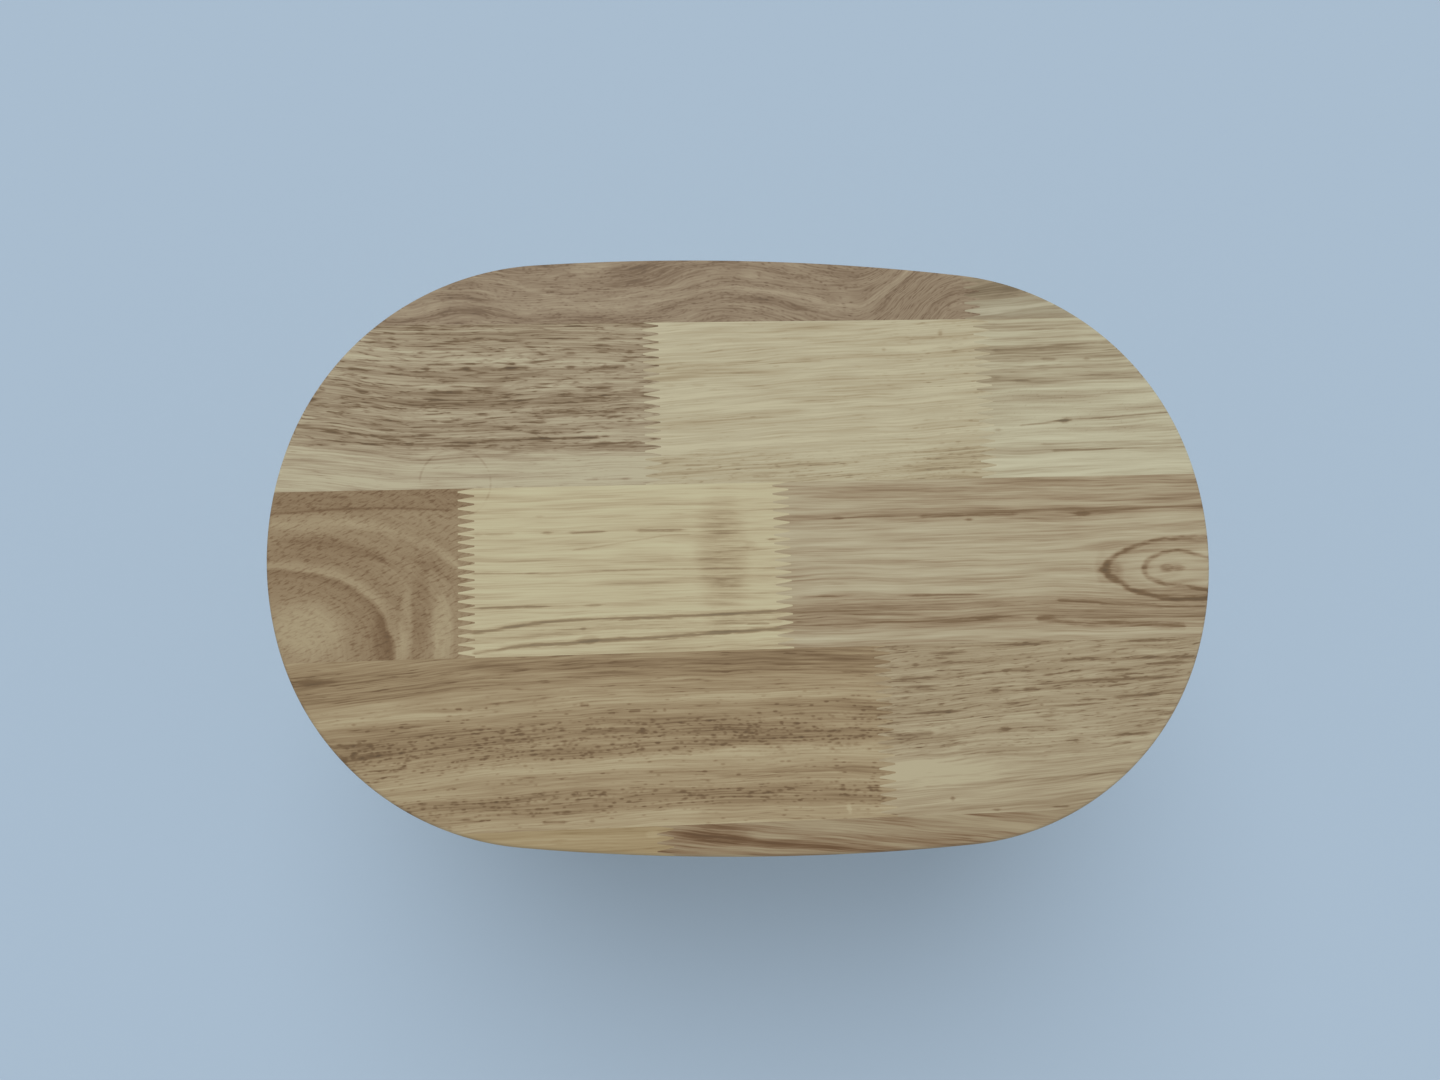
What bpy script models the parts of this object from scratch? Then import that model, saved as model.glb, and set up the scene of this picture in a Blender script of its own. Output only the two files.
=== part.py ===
"""Oval bread bin: a sheet steel bin with a finger-jointed rubberwood lid that lifts off.

Metres, +Z up. The origin is on the table under the middle of the bin, +X runs along the
bin and -Y is its front. The lid's oval is the outline that everything else is drawn in from.
"""
import math

import bmesh
import bpy
import numpy
from mathutils import Matrix, Vector

# Overall form
LID_LENGTH = 0.340
LID_WIDTH = 0.2155
BIN_HEIGHT = 0.155
END_RADIUS = 0.117
END_TURN = math.radians(18)
SIDE_TURN = math.radians(5.2)

# Lid board
LID_THICKNESS = 0.020
PLUG_DEPTH = 0.007
LID_ARRIS = 0.0015
PLUG_CHAMFER = 0.001
REAR_STRIP = 0.02355
FRONT_STRIP = 0.01195
GRAIN_TURN = math.radians(1.87)
GLUE_GAP = 0.0003

# Finger joints, as places along the staves from the rear stave to the front one
FINGER_LENGTH = 0.0058
FINGER_PITCH = 0.003
FINGER_TIP = 0.0005
JOINT_SHARES = ((0.2535,), (-0.0997, 0.2618), (-0.2962, 0.0344), (0.1356,), (-0.0965,))
BLOCK_SIDES = {2: ("left", "right"), 3: ("left", "middle", "right")}

# Seal ring in the lid's rebate
SEAL_HEIGHT = 0.003
SEAL_SEAT = 0.002
PLUG_CLEARANCE = 0.0016

# Sheet steel bin
SHEET = 0.0008
LID_OVERHANG = 0.0015
CURL_RADIUS = 0.0018
CURL_TURN = math.radians(270)
HEM_HEIGHT = 0.004
PAN_CORNER = 0.002
PAN_LAND = 0.016
PAN_PRESS = 0.003
PRESS_RUN = 0.004
FLOOR_CLEARANCE = 0.002

# Ventilation holes in the back of the wall
VENT_DIAMETER = 0.005
VENT_PITCH = 0.015
VENT_DROP = 0.032
VENT_COUNT = 7

# Rubber feet
FOOT_DIAMETER = 0.018
FOOT_TAPER = 0.0015
FOOT_CHAMFER = 0.001
FOOT_ALONG_SHARE = 0.60
FOOT_ACROSS_SHARE = 0.45

# Clearances, overrun of cuts and fineness of round stretches
SEAT_GAP = 0.0003
OVERRUN = 0.005
FACET_SAG = 0.00012
CURL_STEPS = 6
HEM_STEPS = 3
ARRIS_STEPS = 2
TURN_STEPS = 24
VENT_SIDES = 12
MERGE_DISTANCE = 0.00001

# Sizes and places that follow from the values above
STAVE_WIDTH = (LID_WIDTH - REAR_STRIP - FRONT_STRIP) / (len(JOINT_SHARES) - 2)
REAR_SEAM = LID_WIDTH / 2 - REAR_STRIP
LID_SEAT = BIN_HEIGHT + SEAT_GAP
LID_TOP = LID_SEAT + LID_THICKNESS - PLUG_DEPTH
PLUG_BOTTOM = LID_SEAT - PLUG_DEPTH
WALL_INSET = LID_OVERHANG + 2 * CURL_RADIUS + SHEET / 2
PLUG_INSET = WALL_INSET + SHEET / 2 + PLUG_CLEARANCE
SEAL_MIDDLE = (LID_SEAT + PLUG_BOTTOM) / 2
HEM_RADIUS = SHEET + SEAT_GAP
HEM_CENTRE = FLOOR_CLEARANCE + SHEET / 2 + HEM_RADIUS
HEM_TOP = HEM_CENTRE + HEM_HEIGHT
PAN_TOP = HEM_TOP + PAN_CORNER
PAN_FLOOR = PAN_TOP - PAN_PRESS

# Colours of the staves' blocks, from the rear left to the front right
BLOCK_COLOURS = (
    ((144, 128, 106), (158, 150, 130)),
    ((146, 131, 107), (178, 168, 140), (173, 166, 140)),
    ((142, 124, 99), (180, 169, 139), (167, 154, 128)),
    ((149, 131, 103), (156, 141, 116)),
    ((152, 135, 105), (138, 119, 95)),
)
COAT_COLOUR = (226, 221, 209)
RUBBER_COLOUR = (52, 52, 54)
SILICONE_COLOUR = (205, 207, 205)


def start_clean():
    """Remove the scene's objects and return the collections for the parts and the cutters."""
    for stray in list(bpy.data.objects):
        bpy.data.objects.remove(stray, do_unlink=True)
    groups = [bpy.data.collections.new(name) for name in ("bread_bin", "cutters")]
    for group in groups:
        bpy.context.scene.collection.children.link(group)
    return groups


def linear(colour):
    """The linear RGBA value of a colour given in display levels."""
    full = 255
    return [math.pow(level / full, 2.2) for level in colour] + [1]


def material(name, colour, roughness):
    """A Principled material in one colour."""
    made = bpy.data.materials.new(name)
    made.use_nodes = True
    shader = made.node_tree.nodes["Principled BSDF"]
    shader.inputs["Base Color"].default_value = linear(colour)
    shader.inputs["Roughness"].default_value = roughness
    shader.inputs["Metallic"].default_value = 0
    return made


def add_object(name, bm, group, finish=None):
    """Turn a bmesh into an object in the given collection."""
    mesh = bpy.data.meshes.new(name)
    bm.to_mesh(mesh)
    bm.free()
    made = bpy.data.objects.new(name, mesh)
    group.objects.link(made)
    if finish:
        mesh.materials.append(finish)
    return made


def hide_cutter(cutter):
    """Mark an object as a cutter that is no piece of the bin."""
    cutter.hide_render = True
    cutter.display_type = "WIRE"
    return cutter


def shade_round(piece):
    """Shade a round piece smooth, with its corners left sharp."""
    piece.data.shade_smooth()
    piece.data.set_sharp_from_angle(angle=math.radians(40))


def spoke(angle):
    """The unit direction at an angle from +X."""
    return Vector((math.cos(angle), math.sin(angle)))


def quarter_arcs():
    """The end, shoulder and side arcs of a quarter of the oval, each tangent to the next.

    The end's radius is given. The other two are the ones with which the three arcs together
    span half the length and half the width.
    """
    first, second = END_TURN, math.pi / 2 - SIDE_TURN
    spans = (
        (math.cos(first) - math.cos(second), math.cos(second)),
        (math.sin(second) - math.sin(first), 1 - math.sin(second)),
    )
    open_length = LID_LENGTH / 2 - END_RADIUS * (1 - math.cos(first))
    open_width = LID_WIDTH / 2 - END_RADIUS * math.sin(first)
    shoulder_radius, side_radius = numpy.linalg.solve(spans, (open_length, open_width))
    end = Vector((LID_LENGTH / 2 - END_RADIUS, 0))
    shoulder = end + spoke(first) * (END_RADIUS - shoulder_radius)
    side = Vector((0, LID_WIDTH / 2 - side_radius))
    return (
        (end, END_RADIUS, 0, first),
        (shoulder, shoulder_radius, first, second),
        (side, side_radius, second, math.pi / 2),
    )


def oval(inset=0):
    """Points of the oval drawn in by inset, anticlockwise from the right-hand end."""
    quarter = []
    for centre, radius, start, stop in quarter_arcs():
        facet = 2 * math.acos(1 - FACET_SAG / radius)
        steps = math.ceil((stop - start) / facet)
        for step in range(steps):
            angle = start + (stop - start) * step / steps
            quarter.append(centre + spoke(angle) * (radius - inset))
    top = Vector((0, LID_WIDTH / 2 - inset))
    left = [Vector((-point.x, point.y)) for point in reversed(quarter)]
    half = quarter + [top] + left
    return half + [-point for point in half[1:-1]]


def arc(centre, radius, start, turn, steps):
    """Points of an arc in a profile of insets and heights, both ends included."""
    angles = [start + turn * step / steps for step in range(steps + 1)]
    return [(centre[0] - radius * math.cos(a), centre[1] + radius * math.sin(a)) for a in angles]


def sweep(profile, closed=False):
    """Carry a profile of insets and heights, outer side first, round the oval as a bmesh."""
    bm = bmesh.new()
    rings = []
    for inset, height in profile:
        rings.append([bm.verts.new((point.x, point.y, height)) for point in oval(inset)])
    following = rings[1:] + rings[:1] if closed else rings[1:]
    for ring, other in zip(rings, following):
        for corners in zip(ring, other, other[1:] + other[:1], ring[1:] + ring[:1]):
            bm.faces.new(corners)
    return bm


def solid(profile):
    """Sweep a profile that starts and ends on flat faces, and close those faces."""
    bm = sweep(profile)
    bmesh.ops.holes_fill(bm, edges=bm.edges)
    bmesh.ops.recalc_face_normals(bm, faces=bm.faces)
    return bm


def lid_form(cutters):
    """The whole lid board as one solid: rounded arrises, the rebate and the seal's groove."""
    upper = (LID_ARRIS, LID_TOP - LID_ARRIS)
    lower = (LID_ARRIS, LID_SEAT + LID_ARRIS)
    quarter_turn = math.pi / 2
    groove = PLUG_INSET + SEAL_SEAT
    profile = list(reversed(arc(upper, LID_ARRIS, 0, quarter_turn, ARRIS_STEPS)))
    profile += arc(lower, LID_ARRIS, 0, -quarter_turn, ARRIS_STEPS)
    profile += [
        (PLUG_INSET, LID_SEAT),
        (PLUG_INSET, SEAL_MIDDLE + SEAL_HEIGHT / 2),
        (groove, SEAL_MIDDLE + SEAL_HEIGHT / 2),
        (groove, SEAL_MIDDLE - SEAL_HEIGHT / 2),
        (PLUG_INSET, SEAL_MIDDLE - SEAL_HEIGHT / 2),
        (PLUG_INSET, PLUG_BOTTOM + PLUG_CHAMFER),
        (PLUG_INSET + PLUG_CHAMFER, PLUG_BOTTOM),
    ]
    return hide_cutter(add_object("lid_form", solid(profile), cutters))


def finger_line(along, low, high):
    """The zigzag of a finger joint across a stave, from its low edge to its high one."""
    count = max(1, round((high - low) / FINGER_PITCH))
    pitch = (high - low) / count
    flank = pitch / 2 - FINGER_TIP
    root, tip = along - FINGER_LENGTH / 2, along + FINGER_LENGTH / 2
    points = []
    for finger in range(count):
        start = low + finger * pitch
        points += [(root, start), (root, start + FINGER_TIP), (tip, start + FINGER_TIP + flank)]
        points.append((tip, start + pitch - flank))
    return points + [(root, high)]


def shifted(points, run):
    """Points moved along the stave."""
    return [(along + run, across) for along, across in points]


def block_outline(start, stop, low, high):
    """The outline of one block of a stave: its ends are finger joints or lie past the oval."""
    past = LID_LENGTH / 2 + OVERRUN
    outline = [(-past, high), (-past, low)]
    if start is not None:
        outline = list(reversed(shifted(finger_line(start, low, high), GLUE_GAP / 2)))
    if stop is None:
        return outline + [(past, low), (past, high)]
    return outline + shifted(finger_line(stop, low, high), -GLUE_GAP / 2)


def rough_block(outline):
    """A block sawn to its outline and turned to the grain, thicker than the lid."""
    bm = bmesh.new()
    floor = PLUG_BOTTOM - OVERRUN
    bm.faces.new([bm.verts.new((along, across, floor)) for along, across in outline])
    raised = bmesh.ops.extrude_face_region(bm, geom=bm.faces[:])["geom"]
    upper = [part for part in raised if isinstance(part, bmesh.types.BMVert)]
    bmesh.ops.translate(bm, verts=upper, vec=(0, 0, LID_THICKNESS + 2 * OVERRUN))
    bmesh.ops.rotate(bm, verts=bm.verts, matrix=Matrix.Rotation(GRAIN_TURN, 3, "Z"))
    bmesh.ops.recalc_face_normals(bm, faces=bm.faces)
    return bm


def cut_to(block, form):
    """Cut a block to the lid's form, and drop the slivers of finger that come loose."""
    cut = block.modifiers.new("oval", "BOOLEAN")
    cut.operation = "INTERSECT"
    cut.object = form
    ready = block.evaluated_get(bpy.context.evaluated_depsgraph_get())
    bm = bmesh.new()
    bm.from_mesh(ready.to_mesh())
    ready.to_mesh_clear()
    block.modifiers.remove(cut)
    islands = loose_parts(bm)
    largest = max(islands, key=len)
    offcuts = [vert for island in islands if island is not largest for vert in island]
    bmesh.ops.delete(bm, geom=offcuts, context="VERTS")
    bm.to_mesh(block.data)
    bm.free()


def loose_parts(bm):
    """The vertices of a bmesh, grouped by the body that they belong to."""
    left = set(bm.verts)
    islands = []
    while left:
        front = [left.pop()]
        island = list(front)
        while front:
            corner = front.pop()
            near = [edge.other_vert(corner) for edge in corner.link_edges]
            fresh = [vert for vert in near if vert in left]
            left.difference_update(fresh)
            island += fresh
            front += fresh
        islands.append(island)
    return islands


def lid_blocks(parts, form):
    """The blocks of every stave, from the rear stave to the front one."""
    for row, shares in enumerate(JOINT_SHARES):
        high = REAR_SEAM + STAVE_WIDTH * (1 - row) - GLUE_GAP / 2
        low = high - STAVE_WIDTH + GLUE_GAP
        ends = [None] + [share * LID_LENGTH for share in shares] + [None]
        sides = BLOCK_SIDES[len(ends) - 1]
        for side, start, stop, colour in zip(sides, ends, ends[1:], BLOCK_COLOURS[row]):
            name = f"lid_stave_{row + 1}_{side}"
            bm = rough_block(block_outline(start, stop, low, high))
            block = add_object(name, bm, parts, material(name, colour, 0.55))
            cut_to(block, form)


def lid_seal(parts):
    """The silicone ring: its foot sits in the lid's groove, its lip reaches for the wall."""
    half = SEAL_HEIGHT / 2 - SEAT_GAP
    root = PLUG_INSET + SEAL_SEAT - SEAT_GAP
    lip = WALL_INSET + SHEET / 2 + SEAT_GAP
    profile = [(root, half), (PLUG_INSET, half), (lip, 0), (PLUG_INSET, -half), (root, -half)]
    bm = sweep([(inset, SEAL_MIDDLE + rise) for inset, rise in profile], closed=True)
    bmesh.ops.recalc_face_normals(bm, faces=bm.faces)
    shade_round(add_object("lid_seal", bm, parts, material("silicone", SILICONE_COLOUR, 0.5)))


def as_sheet(piece):
    """Give an open surface the thickness of the sheet steel."""
    skin = piece.modifiers.new("sheet", "SOLIDIFY")
    skin.thickness = SHEET
    skin.offset = 0
    skin.use_even_offset = True


def wall_profile():
    """The wall's section, from the end of the rim's curl down to the edge of the hem."""
    curl = (WALL_INSET - CURL_RADIUS, BIN_HEIGHT - SHEET / 2 - CURL_RADIUS)
    hem = (WALL_INSET + HEM_RADIUS, HEM_CENTRE)
    profile = arc(curl, CURL_RADIUS, math.pi - CURL_TURN, CURL_TURN, CURL_STEPS)
    profile += arc(hem, HEM_RADIUS, 0, -math.pi, HEM_STEPS)
    return profile + [(WALL_INSET + 2 * HEM_RADIUS, HEM_TOP)]


def vent_cutter(cutters):
    """The drill for the row of ventilation holes, run through the back of the wall."""
    bm = bmesh.new()
    depth = 2 * (WALL_INSET + OVERRUN)
    for hole in range(VENT_COUNT):
        along = (hole - (VENT_COUNT - 1) / 2) * VENT_PITCH
        place = Matrix.Translation((along, LID_WIDTH / 2, BIN_HEIGHT - VENT_DROP))
        drill = place @ Matrix.Rotation(math.pi / 2, 4, "X")
        radius = VENT_DIAMETER / 2
        bmesh.ops.create_cone(bm, cap_ends=True, segments=VENT_SIDES, radius1=radius,
                              radius2=radius, depth=depth, matrix=drill)
    return hide_cutter(add_object("vent_drill", bm, cutters))


def bin_wall(parts, cutters, coat):
    """The oval wall, with its top edge curled outwards and its bottom edge hemmed inwards."""
    bm = sweep(wall_profile())
    bmesh.ops.recalc_face_normals(bm, faces=bm.faces)
    wall = add_object("bin_wall", bm, parts, coat)
    shade_round(wall)
    as_sheet(wall)
    vents = wall.modifiers.new("vents", "BOOLEAN")
    vents.operation = "DIFFERENCE"
    vents.object = vent_cutter(cutters)


def base_pan(parts, coat):
    """The pressed pan in the bottom: a skirt held in the wall's hem and a sunk floor."""
    skirt = WALL_INSET + HEM_RADIUS
    corner = (skirt + PAN_CORNER, PAN_TOP - PAN_CORNER)
    land = skirt + PAN_CORNER + PAN_LAND
    profile = [(skirt, HEM_CENTRE)]
    profile += arc(corner, PAN_CORNER, 0, math.pi / 2, ARRIS_STEPS)
    profile += [(land, PAN_TOP), (land + PRESS_RUN, PAN_FLOOR)]
    bm = sweep(profile)
    bm.verts.ensure_lookup_table()
    bm.faces.new(bm.verts[-len(oval()):])
    bmesh.ops.recalc_face_normals(bm, faces=bm.faces)
    pan = add_object("base_pan", bm, parts, coat)
    as_sheet(pan)


def foot_mesh():
    """The profile of a foot, from its top to its tread."""
    bm = bmesh.new()
    top = PAN_FLOOR - SHEET / 2 - SEAT_GAP
    outer = FOOT_DIAMETER / 2
    tread = outer - FOOT_TAPER
    profile = [(0, top), (outer, top), (tread, FOOT_CHAMFER), (tread - FOOT_CHAMFER, 0), (0, 0)]
    corners = [bm.verts.new((across, 0, height)) for across, height in profile]
    for pair in zip(corners, corners[1:]):
        bm.edges.new(pair)
    return bm


def feet(parts):
    """Four rubber feet glued under the pan's floor."""
    rubber = material("rubber", RUBBER_COLOUR, 0.8)
    along = FOOT_ALONG_SHARE * LID_LENGTH / 2
    across = FOOT_ACROSS_SHARE * LID_WIDTH / 2
    for end, x in (("left", -along), ("right", along)):
        for face, y in (("front", -across), ("back", across)):
            foot = add_object(f"foot_{face}_{end}", foot_mesh(), parts, rubber)
            foot.location = (x, y, 0)
            turn = foot.modifiers.new("turn", "SCREW")
            turn.steps = TURN_STEPS
            turn.render_steps = TURN_STEPS
            turn.use_merge_vertices = True
            turn.merge_threshold = MERGE_DISTANCE


def build():
    """Make every piece of the bread bin."""
    parts, cutters = start_clean()
    coat = material("powder_coat", COAT_COLOUR, 0.5)
    bin_wall(parts, cutters, coat)
    base_pan(parts, coat)
    feet(parts)
    lid_blocks(parts, lid_form(cutters))
    lid_seal(parts)


build()
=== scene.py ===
# %% [markdown]
# # An oval bread bin with a wooden lid
#
# The bin is a band of sheet steel with a flat lid board on top. The board is rubberwood,
# put together from short blocks: fingers join them end to end into staves, and the staves
# are glued edge to edge. This lesson models the pieces finely and paints their finishes
# with shader nodes. The plain working model is loaded first, as the frame to build on.

# %% The working model
import math

import bmesh
import bpy
from mathutils import Matrix, Vector


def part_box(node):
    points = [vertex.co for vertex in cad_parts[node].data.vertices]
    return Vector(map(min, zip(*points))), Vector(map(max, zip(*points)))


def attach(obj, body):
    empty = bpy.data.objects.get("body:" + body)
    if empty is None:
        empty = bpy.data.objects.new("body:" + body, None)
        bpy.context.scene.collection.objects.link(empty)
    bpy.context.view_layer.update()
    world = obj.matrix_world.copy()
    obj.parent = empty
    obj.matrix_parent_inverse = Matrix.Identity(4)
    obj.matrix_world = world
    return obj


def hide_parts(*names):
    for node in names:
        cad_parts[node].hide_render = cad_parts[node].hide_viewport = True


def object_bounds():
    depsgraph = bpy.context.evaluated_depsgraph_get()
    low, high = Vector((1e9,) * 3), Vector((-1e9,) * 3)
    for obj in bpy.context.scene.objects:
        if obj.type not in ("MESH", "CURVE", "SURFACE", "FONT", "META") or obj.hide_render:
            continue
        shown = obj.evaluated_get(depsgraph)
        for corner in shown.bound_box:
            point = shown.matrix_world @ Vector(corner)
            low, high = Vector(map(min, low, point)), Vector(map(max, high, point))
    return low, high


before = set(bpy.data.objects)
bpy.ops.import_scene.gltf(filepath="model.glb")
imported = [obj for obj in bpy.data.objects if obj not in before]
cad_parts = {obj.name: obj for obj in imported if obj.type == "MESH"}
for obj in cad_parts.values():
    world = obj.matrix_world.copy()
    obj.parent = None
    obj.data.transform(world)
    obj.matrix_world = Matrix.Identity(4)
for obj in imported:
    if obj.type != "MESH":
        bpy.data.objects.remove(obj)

MILLIMETRE = 0.001
cad_low, cad_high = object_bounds()
print("the working model spans", cad_low, "to", cad_high)

# %% [markdown]
# ## Heights and outline
#
# Every height is read from the working model, so a fine piece sits exactly where the plain
# one does. The lid's oval is made of three arcs in each quarter: a tight one at the end, a
# slightly tighter shoulder, and a long flat one at the side. An ellipse would look too
# pointed and a stadium too straight. Only the end arc's radius is chosen. The other two
# radii follow from the length and the width.

# %% Heights and outline
half_length = cad_high.x
half_width = cad_high.y
lid_top = cad_high.z
plug_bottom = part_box("lid_stave_3_middle")[0].z
wall_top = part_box("bin_wall")[1].z
seat_gap = 0.3 * MILLIMETRE
lid_seat = wall_top + seat_gap

end_radius = 117 * MILLIMETRE
end_turn = math.radians(18)
side_turn = math.radians(5.2)
facet_length = 3 * MILLIMETRE


def oval_arcs():
    """Centre, radius and turn of the end, shoulder and side arcs of a quarter."""
    side_start = math.pi / 2 - side_turn
    shoulder_along = math.cos(end_turn) - math.cos(side_start)
    shoulder_across = math.sin(side_start) - math.sin(end_turn)
    side_along, side_across = math.cos(side_start), 1 - math.sin(side_start)
    open_length = half_length - end_radius * (1 - math.cos(end_turn))
    open_width = half_width - end_radius * math.sin(end_turn)
    whole = shoulder_along * side_across - shoulder_across * side_along
    shoulder_radius = (open_length * side_across - open_width * side_along) / whole
    side_radius = (shoulder_along * open_width - shoulder_across * open_length) / whole
    end = Vector((half_length - end_radius, 0, 0))
    reach = end_radius - shoulder_radius
    shoulder = end + Vector((math.cos(end_turn), math.sin(end_turn), 0)) * reach
    side = Vector((0, half_width - side_radius, 0))
    return (
        (end, end_radius, end_turn),
        (shoulder, shoulder_radius, side_start - end_turn),
        (side, side_radius, side_turn),
    )


for centre, radius, turn in oval_arcs():
    print("arc of radius", round(radius, 4), "m over", round(math.degrees(turn), 1), "degrees")

# %% [markdown]
# ## Camera
#
# The camera looks almost straight down on the lid from arm's length, a little from the left
# and the front. A wide lens that close makes the lid hide the whole body below it.

# %% Camera
camera_data = bpy.data.cameras.new("camera")
camera_data.lens = 27.03
camera_data.sensor_width = 36
camera_data.clip_start = 0.01
camera = bpy.data.objects.new("camera", camera_data)
camera.location = (-0.0337, -0.0404, 0.5531)
camera.rotation_euler = [math.radians(angle) for angle in (6.458, -3.415, 0.133)]
bpy.context.scene.collection.objects.link(camera)
bpy.context.scene.camera = camera
print("camera height over the lid:", round(camera.location.z - lid_top, 3), "m")

# %% [markdown]
# ## Light, world and floor
#
# A soft dome of light from all round and one wide, distant lamp behind the bin give the board
# an even light and let a soft shadow fall to the front. Together they light a level surface
# just so much that its colour shows as it is written. The floor keeps its pale blue only for
# what the camera sees. To every other ray it is a neutral pale grey, so that it doesn't tint
# the sides of the bin.

# %% Colour helper
FULL_LEVEL = 255


def linear(colour):
    """The linear RGBA value of a colour given in display levels."""
    levels = [level / FULL_LEVEL for level in colour]
    shares = [s / 12.92 if s <= 0.04045 else ((s + 0.055) / 1.055) ** 2.4 for s in levels]
    return (*shares, 1)


# %% World
TABLE_COLOUR = (170, 190, 209)
DOME_STRENGTH = 0.62
bpy.context.scene.view_settings.view_transform = "Standard"


def view_switch(tree):
    """A node that gives 1 to rays that show a background: camera, glossy and see-through."""
    light_path = tree.nodes.new("ShaderNodeLightPath")
    shown = light_path.outputs["Is Camera Ray"]
    for kind in ("Is Glossy Ray", "Is Transmission Ray"):
        either = tree.nodes.new("ShaderNodeMath")
        either.operation = "MAXIMUM"
        tree.links.new(shown, either.inputs[0])
        tree.links.new(light_path.outputs[kind], either.inputs[1])
        shown = either.outputs[0]
    return shown


world = bpy.data.worlds.new("studio")
world.use_nodes = True
bpy.context.scene.world = world
sky = world.node_tree.nodes["Background"]
sky.inputs["Color"].default_value = linear((255, 255, 255))
sky.inputs["Strength"].default_value = DOME_STRENGTH
backdrop = world.node_tree.nodes.new("ShaderNodeBackground")
backdrop.inputs["Color"].default_value = linear(TABLE_COLOUR)
chooser = world.node_tree.nodes.new("ShaderNodeMixShader")
world.node_tree.links.new(view_switch(world.node_tree), chooser.inputs["Fac"])
world.node_tree.links.new(sky.outputs[0], chooser.inputs[1])
world.node_tree.links.new(backdrop.outputs[0], chooser.inputs[2])
world_end = world.node_tree.nodes["World Output"]
world.node_tree.links.new(chooser.outputs[0], world_end.inputs["Surface"])
print("dome strength:", DOME_STRENGTH)

# %% Lamp
LAMP_SHARE = 0.37
LAMP_SPREAD = 50
lamp_way = Vector((-0.14, 0.58, 0.80)).normalized()
lamp_data = bpy.data.lights.new("window", "SUN")
lamp_data.energy = LAMP_SHARE * math.pi / lamp_way.z
lamp_data.angle = math.radians(LAMP_SPREAD)
lamp = bpy.data.objects.new("window", lamp_data)
lamp.rotation_euler = lamp_way.to_track_quat("Z", "Y").to_euler()
bpy.context.scene.collection.objects.link(lamp)
print("the lamp gives", LAMP_SHARE, "of the light on a level surface")

# %% Floor
FLOOR_HALF = 15.0
FLOOR_GREY = (205, 205, 205)

floor_mesh = bmesh.new()
bmesh.ops.create_grid(floor_mesh, x_segments=1, y_segments=1, size=FLOOR_HALF)
floor_data = bpy.data.meshes.new("floor")
floor_mesh.to_mesh(floor_data)
floor_mesh.free()
floor = bpy.data.objects.new("floor", floor_data)
bpy.context.scene.collection.objects.link(floor)

floor_paint = bpy.data.materials.new("pale_table")
floor_paint.use_nodes = True
floor_tree = floor_paint.node_tree
floor_shader = floor_tree.nodes["Principled BSDF"]
floor_shader.inputs["Roughness"].default_value = 0.7
floor_shader.inputs["Specular IOR Level"].default_value = 0
floor_mix = floor_tree.nodes.new("ShaderNodeMix")
floor_mix.data_type = "RGBA"
floor_tree.links.new(view_switch(floor_tree), floor_mix.inputs["Factor"])
floor_mix.inputs["A"].default_value = linear(FLOOR_GREY)
floor_mix.inputs["B"].default_value = linear(TABLE_COLOUR)
floor_tree.links.new(floor_mix.outputs["Result"], floor_shader.inputs["Base Color"])
floor_data.materials.append(floor_paint)
print("floor of", 2 * FLOOR_HALF, "m")

# %% [markdown]
# ## Carrying a section round the oval
#
# The lid, the seal, the wall and the pan all keep one section all the way round. The spin
# operator turns that section about each arc's centre in turn, starting from where the last
# arc ended, which makes a quarter. Two mirrors make the rest. A section is a list of insets
# from the lid's edge and heights, so the same few numbers describe every piece.

# %% Sweep
MERGE_DISTANCE = 0.002 * MILLIMETRE


def wire(bm, places, closed=False):
    """A chain of edges through the given places."""
    corners = [bm.verts.new(place) for place in places]
    followers = corners[1:] + corners[:1] if closed else corners[1:]
    return corners + [bm.edges.new(pair) for pair in zip(corners, followers)]


def sweep(section, closed=False):
    """Carry a section of insets and heights round the oval, as a bmesh."""
    bm = bmesh.new()
    line = wire(bm, [(half_length - inset, 0, height) for inset, height in section], closed)
    for centre, radius, turn in oval_arcs():
        steps = math.ceil(radius * turn / facet_length)
        line = bmesh.ops.spin(
            bm, geom=line, cent=centre, axis=(0, 0, 1), angle=turn, steps=steps
        )["geom_last"]
    for axis in ("X", "Y"):
        everything = bm.verts[:] + bm.edges[:] + bm.faces[:]
        bmesh.ops.mirror(bm, geom=everything, axis=axis, merge_dist=MERGE_DISTANCE)
    bmesh.ops.remove_doubles(bm, verts=bm.verts, dist=MERGE_DISTANCE)
    bmesh.ops.recalc_face_normals(bm, faces=bm.faces)
    return bm


def bend(inset, height, radius, start, turn, steps):
    """The rounded stretch of a section. Angle 0 points outwards and a quarter turn up."""
    angles = [start + turn * step / steps for step in range(steps + 1)]
    return [(inset - radius * math.cos(a), height + radius * math.sin(a)) for a in angles]


def settle(name, bm, body, nodes, smooth_angle=40):
    """Make a bmesh a piece that rides on a body and stands for its nodes."""
    mesh = bpy.data.meshes.new(name)
    bm.to_mesh(mesh)
    bm.free()
    mesh.shade_smooth()
    mesh.set_sharp_from_angle(angle=math.radians(smooth_angle))
    piece = bpy.data.objects.new(name, mesh)
    bpy.context.scene.collection.objects.link(piece)
    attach(piece, body)
    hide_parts(*nodes)
    return piece


# %% [markdown]
# ## The lid board's form
#
# The board has a small round on its upper and lower edge, and below it a plug that drops
# into the bin. A groove round the plug takes the seal ring. All of this is one section. The
# flat top and bottom close its two ends.

# %% The lid board's form
QUARTER = math.pi / 2
arris = 1.5 * MILLIMETRE
plug_chamfer = 1.0 * MILLIMETRE
plug_inset = 7.5 * MILLIMETRE
groove_depth = 2.0 * MILLIMETRE
groove_half = 1.5 * MILLIMETRE
seal_middle = (lid_seat + plug_bottom) / 2
ARRIS_STEPS = 6


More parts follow.
